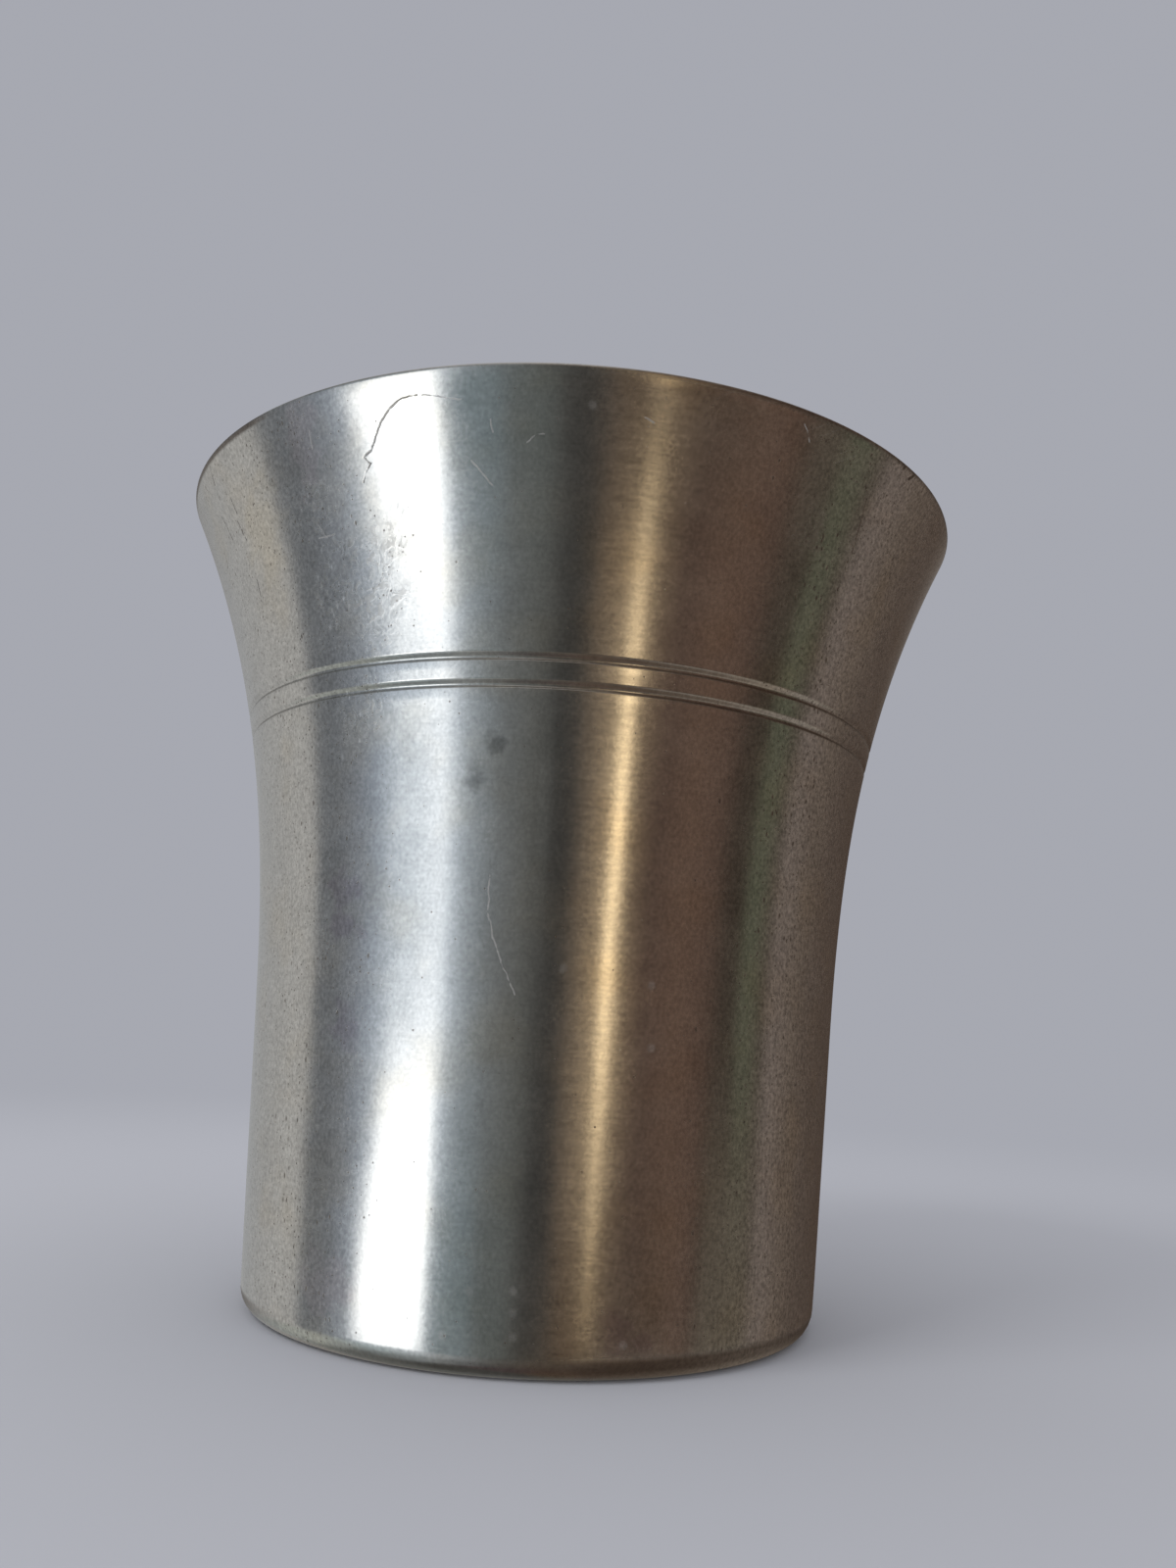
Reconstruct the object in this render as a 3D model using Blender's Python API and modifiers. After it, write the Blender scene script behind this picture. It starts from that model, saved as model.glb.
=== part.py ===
"""Turned pewter beaker with a flared mouth, two cut grooves and a let-in base.

Metres, +Z up. The origin is the centre of the foot's underside, on the surface
that the beaker stands on, and the turning axis is Z. Three pieces make it up:
the wall with its rolled-in foot, the base disc that lies on that foot, and the
fillet of solder that joins the two inside.
"""
import math

import bpy

MM = 0.001

# Outline of the wall's outer face
HEIGHT = 80.0 * MM
RIM_DIAMETER = 82.6 * MM
WAIST_HEIGHT = 28.0 * MM       # the mouth begins to open here
WAIST_DIAMETER = 59.3 * MM
HEEL_DIAMETER = 56.3 * MM      # the wall's line carried straight down to the table
FLARE_POWER = 2.5              # how late the mouth opens: 2 is a plain parabola

# Metal of the wall
WALL_THICKNESS = 1.2 * MM
RIM_EDGE_RADIUS = 0.28 * MM

# Foot: the wall rolled in under the beaker
FOOT_BEND_RADIUS = 2.0 * MM
FOOT_FLAT_WIDTH = 4.4 * MM
FOOT_EDGE_RADIUS = 0.3 * MM

# Grooves cut round the neck
TOP_GROOVE_HEIGHT = 57.6 * MM
GROOVE_PITCH = 2.25 * MM
GROOVE_WIDTH = 0.85 * MM
GROOVE_DEPTH = 0.22 * MM
GROOVE_COUNT = 2

# Base disc, pushed up in the middle so that it never touches the table
BASE_THICKNESS = 1.4 * MM
BASE_FLAT_MARGIN = 1.0 * MM    # the disc stays flat this far past the foot's inner edge
BASE_RISE_WIDTH = 5.0 * MM
BASE_PUSH_UP = 1.1 * MM

# Solder fillet between the wall and the base disc
SOLDER_LEG = 1.5 * MM
SOLDER_TIP = 0.12 * MM

# Gap between pieces that touch on the real beaker, and the smallest inside fillet
SEAT_GAP = 0.3 * MM
LEAST_FILLET = 0.2 * MM

# Fineness of the turned meshes
FLARE_STEP = 3.6 * MM
TURN_STEPS = 72
SHARP_ANGLE = math.radians(32.0)
MERGE_DISTANCE = 0.01 * MM

# Worked out from the sizes above
WALL_LEAN = (WAIST_DIAMETER - HEEL_DIAMETER) / 2.0 / WAIST_HEIGHT
LEAN_SECANT = math.hypot(1.0, WALL_LEAN)
LEAN_ANGLE = math.degrees(math.atan(WALL_LEAN))
RIM_LEVEL = HEIGHT - RIM_EDGE_RADIUS
RIM_BOW = (RIM_DIAMETER - HEEL_DIAMETER) / 2.0 - WALL_LEAN * RIM_LEVEL
FOOT_FILLET = max(FOOT_BEND_RADIUS - WALL_THICKNESS, LEAST_FILLET)
BASE_EDGE_RADIUS = max(FOOT_FILLET - SEAT_GAP, LEAST_FILLET)
BASE_SEAT = WALL_THICKNESS + SEAT_GAP
SOLDER_SEAT = BASE_SEAT + BASE_THICKNESS + SEAT_GAP


def outer_radius(z):
    """Wall's outer radius at height z, before the grooves: a taper, then the flare."""
    opened = max(z - WAIST_HEIGHT, 0.0) / (RIM_LEVEL - WAIST_HEIGHT)
    return HEEL_DIAMETER / 2.0 + WALL_LEAN * z + RIM_BOW * opened ** FLARE_POWER


def outer_slope(z):
    """How fast the outer radius grows with height at z."""
    opened = max(z - WAIST_HEIGHT, 0.0) / (RIM_LEVEL - WAIST_HEIGHT)
    opening = RIM_BOW * FLARE_POWER * opened ** (FLARE_POWER - 1.0)
    return WALL_LEAN + opening / (RIM_LEVEL - WAIST_HEIGHT)


def inner_radius(z):
    """Wall's inner radius at height z, one thickness inside, measured square to the metal."""
    return outer_radius(z) - WALL_THICKNESS * math.hypot(1.0, outer_slope(z))


def spread(start, end, pieces):
    """Evenly spaced values from start to end, both included."""
    return [start + (end - start) * index / pieces for index in range(pieces + 1)]


def between(radius_at, start, end):
    """Points of a face strictly between two heights, no further apart than the flare's step."""
    pieces = max(1, math.ceil(abs(end - start) / FLARE_STEP))
    return [(radius_at(z), z) for z in spread(start, end, pieces)[1:-1]]


def arc(centre, radius, start, end, pieces):
    """Points of an arc in the plane of radius and height, its angles in degrees from outward."""
    points = []
    for angle in spread(math.radians(start), math.radians(end), pieces):
        points.append((centre[0] + radius * math.cos(angle), centre[1] + radius * math.sin(angle)))
    return points


def rim():
    """Section of the rim: a rounded inner corner, a flat and a rounded outer corner."""
    radius = RIM_EDGE_RADIUS
    slope = outer_slope(RIM_LEVEL)
    lean = math.degrees(math.atan(slope))
    inset = radius * math.hypot(1.0, slope)
    inner = (inner_radius(RIM_LEVEL) + inset, RIM_LEVEL)
    outer = (outer_radius(RIM_LEVEL) - inset, RIM_LEVEL)
    return arc(inner, radius, 180.0 - lean, 90.0, 3) + arc(outer, radius, 90.0, -lean, 4)


def groove(middle):
    """Section of one round-bottomed groove, from its upper lip to its lower lip."""
    points = []
    for angle in spread(0.0, math.pi, 6):
        z = middle + GROOVE_WIDTH / 2.0 * math.cos(angle)
        points.append((outer_radius(z) - GROOVE_DEPTH * math.sin(angle) ** 2, z))
    return points


def outer_face(top):
    """Section of the outer face from height top down to the waist, grooves included."""
    points = []
    for index in range(GROOVE_COUNT):
        cut = groove(TOP_GROOVE_HEIGHT - GROOVE_PITCH * index)
        points += between(outer_radius, top, cut[0][1]) + cut
        top = cut[-1][1]
    points += between(outer_radius, top, WAIST_HEIGHT)
    points.append((outer_radius(WAIST_HEIGHT), WAIST_HEIGHT))
    return points


def foot_bend_middle():
    """Centre of the outside bend, which touches the wall's line and the table."""
    return outer_radius(FOOT_BEND_RADIUS) - FOOT_BEND_RADIUS * LEAN_SECANT, FOOT_BEND_RADIUS


def foot_inner_edge():
    """Radius of the hole that the foot leaves under the base disc."""
    return foot_bend_middle()[0] - FOOT_FLAT_WIDTH


def foot():
    """Section of the foot: outside bend, flat underside, rounded inner edge, inside bend."""
    points = arc(foot_bend_middle(), FOOT_BEND_RADIUS, -LEAN_ANGLE, -90.0, 6)
    edge = foot_inner_edge() + FOOT_EDGE_RADIUS
    points += arc((edge, FOOT_EDGE_RADIUS), FOOT_EDGE_RADIUS, -90.0, -180.0, 2)
    points += arc((edge, WALL_THICKNESS - FOOT_EDGE_RADIUS), FOOT_EDGE_RADIUS, 180.0, 90.0, 2)
    level = WALL_THICKNESS + FOOT_FILLET
    middle = (inner_radius(level) - FOOT_FILLET * LEAN_SECANT, level)
    return points + arc(middle, FOOT_FILLET, -90.0, -LEAN_ANGLE, 4)


def wall_outline():
    """Closed section of the wall: over the rim, down outside, under the foot, up inside."""
    over = rim()
    inside = [(inner_radius(WAIST_HEIGHT), WAIST_HEIGHT)]
    inside += between(inner_radius, WAIST_HEIGHT, over[0][1])
    return over + outer_face(over[-1][1]) + foot() + inside


def base_radius():
    """Disc's radius, which stops one seat gap short of the wall's inner face."""
    return inner_radius(BASE_SEAT + BASE_EDGE_RADIUS) - SEAT_GAP * LEAN_SECANT


def base_outline():
    """Section of the disc in its own heights: top from the middle out, then underneath."""
    outer = base_radius()
    flat_edge = foot_inner_edge() - BASE_FLAT_MARGIN
    rise = []
    for share in spread(1.0, 0.0, 6):
        crown = BASE_PUSH_UP * share * share * (3.0 - 2.0 * share)
        rise.append((flat_edge - BASE_RISE_WIDTH * share, crown))
    points = [(0.0, BASE_THICKNESS + BASE_PUSH_UP)]
    points += [(x, BASE_THICKNESS + crown) for x, crown in rise]
    points.append((outer, BASE_THICKNESS))
    points += arc((outer - BASE_EDGE_RADIUS, BASE_EDGE_RADIUS), BASE_EDGE_RADIUS, 0.0, -90.0, 3)
    points += reversed(rise)
    points.append((0.0, BASE_PUSH_UP))
    return points


def solder_outline():
    """Section of the fillet in its own heights: down its back, inward, up its hollow face."""
    back = inner_radius(SOLDER_SEAT) - SEAT_GAP * LEAN_SECANT
    face = arc((back - SOLDER_LEG, SOLDER_LEG), SOLDER_LEG - SOLDER_TIP, -90.0, 0.0, 6)
    top = (back + WALL_LEAN * SOLDER_LEG, SOLDER_LEG)
    return [top, (back, 0.0), (back - SOLDER_LEG, 0.0)] + face


def metal(name, colour, roughness):
    """Principled metal for one piece."""
    material = bpy.data.materials.new(name)
    material.use_nodes = True
    shader = material.node_tree.nodes["Principled BSDF"]
    shader.inputs["Base Color"].default_value = (*colour, 1.0)
    shader.inputs["Metallic"].default_value = 1.0
    shader.inputs["Roughness"].default_value = roughness
    return material


def turned(name, outline, closed, seat, material, collection):
    """Piece turned about Z from a section, whose heights are counted from its seat."""
    count = len(outline)
    edges = [(index, index + 1) for index in range(count - 1)]
    if closed:
        edges.append((count - 1, 0))
    section = bpy.data.meshes.new(name + "_section")
    section.from_pydata([(x, 0.0, z) for x, z in outline], edges, [])
    piece = bpy.data.objects.new(name, section)
    piece.location.z = seat
    collection.objects.link(piece)

    screw = piece.modifiers.new("turn", "SCREW")
    screw.axis = "Z"
    screw.angle = math.tau
    screw.steps = TURN_STEPS
    screw.render_steps = TURN_STEPS
    screw.use_merge_vertices = True
    screw.merge_threshold = MERGE_DISTANCE

    bpy.context.view_layer.update()
    evaluated = piece.evaluated_get(bpy.context.evaluated_depsgraph_get())
    piece.data = bpy.data.meshes.new_from_object(evaluated)
    piece.modifiers.clear()
    bpy.data.meshes.remove(section)
    piece.data.name = name
    piece.data.shade_smooth()
    piece.data.set_sharp_from_angle(angle=SHARP_ANGLE)
    piece.data.materials.append(material)
    return piece


def main():
    for leftover in list(bpy.data.objects):
        bpy.data.objects.remove(leftover)
    beaker = bpy.data.collections.new("pewter_beaker")
    bpy.context.scene.collection.children.link(beaker)

    satin = metal("satin_pewter", (0.56, 0.54, 0.50), 0.26)
    plain = metal("plain_pewter", (0.50, 0.485, 0.455), 0.34)
    solder = metal("soft_solder", (0.46, 0.455, 0.44), 0.42)

    turned("body_wall", wall_outline(), True, 0.0, satin, beaker)
    turned("base_disc", base_outline(), False, BASE_SEAT, plain, beaker)
    turned("solder_fillet", solder_outline(), True, SOLDER_SEAT, solder, beaker)


main()
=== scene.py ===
"""Looks of the pewter beaker: a turned wall, its base disc and the solder between them.

Metres, +Z up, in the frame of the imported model. The wall, the disc and the
solder are turned again in fine steps, worn a little, and finished in pewter.
"""
import math

import bmesh
import bpy
import numpy as np
from mathutils import Matrix, Vector


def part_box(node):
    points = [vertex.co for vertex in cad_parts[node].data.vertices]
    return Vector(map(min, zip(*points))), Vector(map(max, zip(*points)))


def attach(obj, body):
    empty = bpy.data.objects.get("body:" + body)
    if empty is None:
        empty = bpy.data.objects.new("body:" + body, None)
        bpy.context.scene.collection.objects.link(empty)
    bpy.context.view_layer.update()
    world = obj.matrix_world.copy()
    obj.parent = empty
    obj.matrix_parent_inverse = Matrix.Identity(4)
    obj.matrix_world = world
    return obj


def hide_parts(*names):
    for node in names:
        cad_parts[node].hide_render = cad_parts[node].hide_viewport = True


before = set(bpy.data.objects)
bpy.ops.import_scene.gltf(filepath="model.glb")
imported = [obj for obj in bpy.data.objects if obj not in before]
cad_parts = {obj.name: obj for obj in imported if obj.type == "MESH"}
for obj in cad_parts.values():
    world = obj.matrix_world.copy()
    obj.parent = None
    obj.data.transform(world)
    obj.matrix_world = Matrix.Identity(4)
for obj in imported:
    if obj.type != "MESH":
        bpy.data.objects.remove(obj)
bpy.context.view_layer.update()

MM = 0.001

# Wall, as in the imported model
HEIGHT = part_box("body_wall")[1][2]
RIM_DIAMETER = 82.6 * MM
WAIST_HEIGHT = 28.0 * MM
WAIST_DIAMETER = 59.3 * MM
HEEL_DIAMETER = 56.3 * MM
FLARE_POWER = 2.5
WALL_THICKNESS = 1.2 * MM
RIM_EDGE_RADIUS = 0.28 * MM

# Foot
FOOT_BEND_RADIUS = 2.0 * MM
FOOT_FLAT_WIDTH = 4.4 * MM
FOOT_EDGE_RADIUS = 0.3 * MM
FOOT_FILLET = FOOT_BEND_RADIUS - WALL_THICKNESS

# Grooves round the neck
TOP_GROOVE_HEIGHT = 57.6 * MM
GROOVE_PITCH = 2.25 * MM
GROOVE_WIDTH = 0.85 * MM
GROOVE_DEPTH = 0.22 * MM
GROOVE_COUNT = 2
GROOVE_SKEW = 1.4
GROOVE_ROUNDNESS = 1.5

# Base disc and solder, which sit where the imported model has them
BASE_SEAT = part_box("base_disc")[0][2]
BASE_THICKNESS = 1.4 * MM
BASE_FLAT_MARGIN = 1.0 * MM
BASE_RISE_WIDTH = 5.0 * MM
BASE_PUSH_UP = 1.1 * MM
SOLDER_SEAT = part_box("solder_fillet")[0][2]
SOLDER_LEG = 1.5 * MM
SOLDER_TIP = 0.12 * MM
SEAT_GAP = 0.3 * MM

# Fineness of the turned meshes
BODY_STEP = 1.0 * MM
FLARE_STEP = 0.9 * MM
TURN_STEPS = 400
RIM_INNER_STEPS = 7
RIM_OUTER_STEPS = 10
GROOVE_STEPS = 14
FOOT_BEND_STEPS = 20
FOOT_EDGE_STEPS = 5
FOOT_FILLET_STEPS = 6
BASE_RISE_STEPS = 16
BASE_FLAT_STEPS = 10
BASE_CORNER_STEPS = 5
SOLDER_STEPS = 12
SHARP_ANGLE = math.radians(32.0)
WELD_DISTANCE = 0.001 * MM

# Worked out from the sizes above
WALL_LEAN = (WAIST_DIAMETER - HEEL_DIAMETER) / 2.0 / WAIST_HEIGHT
LEAN_SECANT = math.hypot(1.0, WALL_LEAN)
LEAN_ANGLE = math.degrees(math.atan(WALL_LEAN))
RIM_LEVEL = HEIGHT - RIM_EDGE_RADIUS
RIM_BOW = (RIM_DIAMETER - HEEL_DIAMETER) / 2.0 - WALL_LEAN * RIM_LEVEL
BASE_EDGE_RADIUS = FOOT_FILLET - SEAT_GAP

# Wear of the wall's shape; dents and knocks by bearing in degrees, height, reach and depth in mm
OVAL = 0.12 * MM
OVAL_BEARING = 60.0
WORN_FROM = FOOT_BEND_RADIUS * 2.0
WORN_RISE = HEIGHT * 0.15
DENTS = (
    (-84.0, 37.0, 16.0, -0.42),
    (-36.0, 41.0, 7.0, 0.07),
    (-31.0, 67.0, 5.0, 0.06),
    (15.0, 44.0, 8.0, -0.05),
    (26.0, 69.0, 6.0, 0.07),
    (58.0, 30.0, 9.0, 0.10),
    (120.0, 50.0, 8.0, 0.16),
    (-150.0, 33.0, 9.0, 0.14),
    (170.0, 68.0, 6.0, 0.12),
)
KNOCKS = ((-66.0, 0.5, 4.5, 0.20), (-118.0, 0.8, 3.0, 0.10), (74.0, 0.6, 3.0, 0.08))

# Pewter's own colours, as shares of the light that it sends back
PEWTER = (0.56, 0.545, 0.515)
TARNISHED = (0.57, 0.535, 0.475)
PLAIN_PEWTER = (0.50, 0.487, 0.46)
SOLDER = (0.46, 0.455, 0.44)
OXIDE = (0.40, 0.39, 0.375)
# Tint of the dark marks: pits, scratches, grime, and the painted shade under the rim's left lip
# and round the foot
GRIME_AND_SHADE_TINT = (0.60, 0.49, 0.41)
BLUSH = (0.64, 0.57, 0.545)
PLUM = (0.45, 0.395, 0.415)
AMBER = (0.60, 0.55, 0.46)

# Scratches on the wall, each through marks of bearing and height in mm
CRACK = (
    (-20.9, 77.7), (-22.2, 77.3), (-23.2, 76.5), (-24.0, 75.9),
    (-25.3, 74.5), (-26.7, 74.1), (-25.6, 73.5), (-26.9, 72.8), (-27.2, 72.2),
)
DARK_SCRATCHES = (
    ((-59.4, 79.2), (-59.9, 77.6), (-59.6, 76.1)),
    ((-60.9, 74.8), (-59.0, 72.0)),
    ((42.8, 76.2), (43.5, 75.0), (44.0, 72.0), (44.1, 69.8)),
    ((-18.2, 78.0), (-19.3, 78.0), (-20.9, 77.7)),
    ((-55.6, 75.3), (-55.1, 73.8)),
    ((-55.6, 73.4), (-54.9, 72.2), (-54.1, 71.2)),
    ((-64.7, 72.5), (-65.2, 70.9)),
    ((-53.5, 67.5), (-53.6, 65.6)),
)
RIM_NICKS = (
    ((50.4, 79.0), (51.1, 79.5), (51.5, 80.0)),
    ((51.1, 79.5), (50.6, 79.9)),
    ((48.3, 79.4), (48.9, 79.9)),
)
PALE_SCRATCHES = (
    ((-17.6, 77.9), (-12.7, 77.4)),
    ((-34.6, 77.1), (-34.6, 75.7)),
    ((-36.8, 76.3), (-36.4, 75.7)),
    ((-11.8, 72.9), (-9.1, 71.0)),
    ((-9.2, 75.8), (-9.0, 74.9)),
    ((-4.8, 74.1), (-3.8, 74.7), (-2.8, 74.8)),
    ((-36.5, 70.0), (-34.8, 68.5)),
    ((-36.3, 68.6), (-33.2, 68.6)),
    ((-8.5, 39.4), (-8.5, 36.5), (-7.5, 34.4), (-5.9, 32.3), (-3.4, 29.8)),
    ((29.4, 78.8), (30.8, 77.7)),
    ((9.1, 76.6), (10.1, 76.3)),
)
PALE_DOTS = (
    (2.9, 77.1), (3.9, 32.1), (18.4, 31.1), (19.0, 26.1), (-8.0, 6.6), (-12.1, 3.2),
    (-1.0, 6.9), (-0.8, 5.2), (-0.7, 3.5), (17.2, 3.0),
)

# Stains of the wall, each by its mark, its size in mm and its depth
STAINS = (
    ((-8.0, 50.0), 1.1, 0.40), ((-9.3, 50.8), 1.0, 0.18),
    ((-11.7, 47.1), 1.2, 0.34), ((-11.4, 48.3), 1.0, 0.20),
)

# Rough and pitted patches of the wall, each by bearing, height and size in mm, and a line of pits
ROUGH_PATCHES = (
    (-36.0, 71.0, 4.0), (-34.0, 65.0, 5.0), (-36.2, 62.5, 3.0), (-27.5, 62.0, 5.5),
    (-25.0, 67.0, 3.5), (-32.0, 54.2, 4.6), (35.5, 70.5, 2.6),
)
PITTED_PATCHES = (
    (37.5, 70.0, 2.6), (39.0, 65.0, 2.2), (48.0, 46.5, 4.6), (46.0, 51.5, 3.2),
    (47.0, 36.0, 3.6),
)
PIT_LINE = ((42.6, 76.0), (44.0, 67.0), (44.4, 58.5))

# Tints of the wall, each by its mark, its size in mm and its colour
TINTS = (
    ((-35.9, 77.2), 3.0, BLUSH),
    ((-36.0, 74.0), 2.4, BLUSH),
    ((-35.6, 38.6), 2.6, PLUM),
    ((-35.4, 35.4), 2.4, PLUM),
    ((-34.2, 27.0), 2.6, PLUM),
    ((-35.0, 5.5), 4.0, BLUSH),
    ((-49.1, 71.0), 5.0, AMBER),
    ((18.0, 3.5), 3.0, PLUM),
)

# Widths of scratches and sizes of dots, in mm, and the shares of them that show in full
STROKE_CORE = 0.35
SPOT_CORE = 0.3
CRACK_WIDTH = 0.125
DARK_WIDTH = 0.085
NICK_WIDTH = 0.16
PALE_WIDTH = 0.085
PIT_LINE_WIDTH = 0.8
DOT_SIZE = 0.5

# Rub marks as fine as hairs: their angle in degrees, their length and width in mm and their share
HAIRS = (28.0, 9.0, 0.14, 0.30)
HAIR_EDGE = 0.06

# Noise that makes marks unsteady, by its scale and its reach in mm
FINE_SHAKE = (0.9, 0.40)
WIDE_SHAKE = (0.45, 7.0)
SOFT_SHAKE = (1.0, 1.3)

# Turned streaks, by length and height in mm and by detail
FINE_STREAKS = (1.3, 0.19, 2.0)
DRAWN_STREAKS = (6.0, 0.5, 2.0)
RULED_STREAKS = (1.6, 0.33, 3.0)
SPOON_STREAKS = (3.0, 0.22, 2.0)
CLOTH_STREAKS = (14.0, 0.8, 3.0)

# Sizes of the wall's noises
GRAIN_SIZE = 0.30 * MM
MOTTLE_SIZE = 1.1 * MM
CLOUD_SIZE = 1.2 * MM
RIPPLE_SIZE = 2.6 * MM
WAVE_SIZE = 3.4 * MM
BLOTCH_SIZE = 4.5 * MM
TARNISH_SIZE = 7.0 * MM
SWELL_SIZE = 11.0 * MM

# Noises of the plainer metal, by size, detail and roughness, and the width of the lathe's rings
DULL_BLOTCHES = (6.0 * MM, 5.0, 0.6)
SOLDER_LUMPS = (1.6 * MM, 4.0, 0.6)
SOLDER_BLOTCHES = (4.0 * MM, 4.0, 0.6)
RING_WIDTH = 0.5 * MM

# Shares of the height that draw noises out upright
GRAIN_SQUEEZE = 0.8
WAVE_SQUEEZE = 0.6
NICK_SQUEEZE = 0.45

# What noises let through: from and to in the noise, then any least and most other than 0 and 1
CROWDING = (0.3, 0.6, 0.4, 1.1)
SCORING = (0.42, 0.65, 0.0, 0.26)
CRACK_BREAKS = (0.3, 0.55, 0.5, 0.85)
HAIR_CLOUDS = (0.50, 0.7, 0.0, 0.09)
GRIME_BREAKS = (0.25, 0.6, 0.6, 1.0)
CURLING = (0.50, 0.60)
TARNISHING = (0.45, 0.75)

# Pits, by spacing and size, with the least share of the size and the share of depth at the floor
SMALL_PITS = (0.44 * MM, 0.15 * MM)
LARGE_PITS = (1.5 * MM, 0.15 * MM)
UPRIGHT_NICKS = (0.42 * MM, 0.18 * MM)
PALE_FLECKS = (0.55 * MM, 0.24 * MM)
INSIDE_PITS = (1.1 * MM, 0.14 * MM)
BASE_PITS = (1.2 * MM, 0.16 * MM)
LEAST_PIT = 0.3
PIT_FLOOR = 0.7

# Bearings in degrees over which the wall's wear changes
FLANK = (22.0, 42.0)
RIGHT_SIDE = (34.0, 46.0)
COARSE_SIDE = (10.0, 24.0)
FLECKED_SIDE = (-29.0, -33.0)
RULED_BEARING = 9.5
RULED_REACH = (9.0, 3.0)

# Old polish in the grooves, a darker band at the rim's edge, and painted shade under the rim's
# left lip and round the foot, all less about one bearing; by bearings in degrees and levels in mm
SPARED_BEARING = -25.0
SPARED_REACH = (18.0, 45.0)
SPARED_LEAST = 0.2
SPARED_GAIN = 0.7
# Darker band along the rim's edge
RIM_DARK_BAND = (HEIGHT / MM - 0.7, HEIGHT / MM - 0.25)
# Painted shade: a dark line just under the rim on the left side, about bearings -46 to -70
LIP_PAINTED_SHADE = (HEIGHT / MM - 0.85, HEIGHT / MM - 0.5)
LIP_START = (-38.0, -46.0)
LIP_END = (-82.0, -70.0, 0.2, 1.0)
GROOVE_GRIME_DROP = GROOVE_WIDTH * 0.33
GROOVE_GRIME = (0.27, 0.04)
# Painted shade: a dark band round the foot's bend, kept off the bearings about -25
HEEL_TOP = (2.3, 1.6)
HEEL_BOTTOM = (0.4, 1.1, 0.4, 1.0)
HEEL_SIDE = (25.0, 42.0, 0.92, 0.82)

# How strongly each mark shows
RIM_DARK_BAND_SHARE = 0.9
# How dark the painted shade under the rim's left lip is
LIP_PAINTED_SHADE_SHARE = 0.85
SMALL_PIT_DARK = 0.72
LARGE_PIT_DARK = 0.70
CURL_DARK = 0.28
NICK_DARK = 0.85
CRACK_DARK = 0.9
PALE_SCRATCH_SHARE = 0.58
PALE_DOT_SHARE = 0.10
TINT_SHARE = 0.6
DARK_LOSS = 0.72
PALE_LOSS = 0.85
MARK_ROUGHNESS = 0.3
QUARTER_TURN = 0.25

# Camera, from the fit of the photograph's outline
CAMERA_PLACE = (3.25 * MM, -127.45 * MM, 27.1 * MM)
CAMERA_PITCH = math.radians(11.885)
CAMERA_ROLL = math.radians(3.07)
CAMERA_LENS = 27.045
SENSOR = 36.0


def outer_radius(z):
    """Wall's outer radius at height z, before the grooves: a taper, then the flare."""
    opened = max(z - WAIST_HEIGHT, 0.0) / (RIM_LEVEL - WAIST_HEIGHT)
    return HEEL_DIAMETER / 2.0 + WALL_LEAN * z + RIM_BOW * opened ** FLARE_POWER


def outer_slope(z):
    """How fast the outer radius grows with height at z."""
    opened = max(z - WAIST_HEIGHT, 0.0) / (RIM_LEVEL - WAIST_HEIGHT)
    opening = RIM_BOW * FLARE_POWER * opened ** (FLARE_POWER - 1.0)
    return WALL_LEAN + opening / (RIM_LEVEL - WAIST_HEIGHT)


def inner_radius(z):
    """Wall's inner radius at height z, one thickness inside, measured square to the metal."""
    return outer_radius(z) - WALL_THICKNESS * math.hypot(1.0, outer_slope(z))


def spread(start, end, pieces):
    """Evenly spaced values from start to end, both included."""
    return [start + (end - start) * index / pieces for index in range(pieces + 1)]


def smooth(share):
    """Share from 0 to 1, eased at both ends."""
    return share * share * (3.0 - 2.0 * share)


def between(radius_at, start, end, step):
    """Points of a face strictly between two heights, no further apart than the step."""
    pieces = max(1, math.ceil(abs(end - start) / step))
    return [(radius_at(z), z) for z in spread(start, end, pieces)[1:-1]]


def arc(centre, radius, start, end, pieces):
    """Points of an arc in the plane of radius and height, its angles in degrees from outward."""
    points = []
    for angle in spread(math.radians(start), math.radians(end), pieces):
        points.append((centre[0] + radius * math.cos(angle), centre[1] + radius * math.sin(angle)))
    return points


def rim():
    """Section of the rim: a rounded inner corner, a flat and a rounded outer corner."""
    radius = RIM_EDGE_RADIUS
    slope = outer_slope(RIM_LEVEL)
    lean = math.degrees(math.atan(slope))
    inset = radius * math.hypot(1.0, slope)
    inner = (inner_radius(RIM_LEVEL) + inset, RIM_LEVEL)
    outer = (outer_radius(RIM_LEVEL) - inset, RIM_LEVEL)
    points = arc(inner, radius, 180.0 - lean, 90.0, RIM_INNER_STEPS)
    return points + arc(outer, radius, 90.0, -lean, RIM_OUTER_STEPS)


def groove(middle):
    """Section of one round-bottomed groove, from its upper lip to its lower lip."""
    points = []
    for angle in spread(0.0, math.pi, GROOVE_STEPS):
        z = middle + GROOVE_WIDTH / 2.0 * math.cos(angle)
        share = (1.0 - math.cos(angle)) / 2.0
        depth = GROOVE_DEPTH * math.sin(math.pi * share ** GROOVE_SKEW) ** GROOVE_ROUNDNESS
        points.append((outer_radius(z) - depth, z))
    return points


def outer_face(top):
    """Section of the outer face from height top down to the foot, grooves included."""
    points = []
    for index in range(GROOVE_COUNT):
        cut = groove(TOP_GROOVE_HEIGHT - GROOVE_PITCH * index)
        points += between(outer_radius, top, cut[0][1], FLARE_STEP) + cut
        top = cut[-1][1]
    points += between(outer_radius, top, WAIST_HEIGHT, FLARE_STEP)
    points.append((outer_radius(WAIST_HEIGHT), WAIST_HEIGHT))
    return points + between(outer_radius, WAIST_HEIGHT, FOOT_BEND_RADIUS, BODY_STEP)


def foot_bend_middle():
    """Centre of the outside bend, which touches the wall's line and the table."""
    return outer_radius(FOOT_BEND_RADIUS) - FOOT_BEND_RADIUS * LEAN_SECANT, FOOT_BEND_RADIUS


def foot_inner_edge():
    """Radius of the hole that the foot leaves under the base disc."""
    return foot_bend_middle()[0] - FOOT_FLAT_WIDTH


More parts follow.
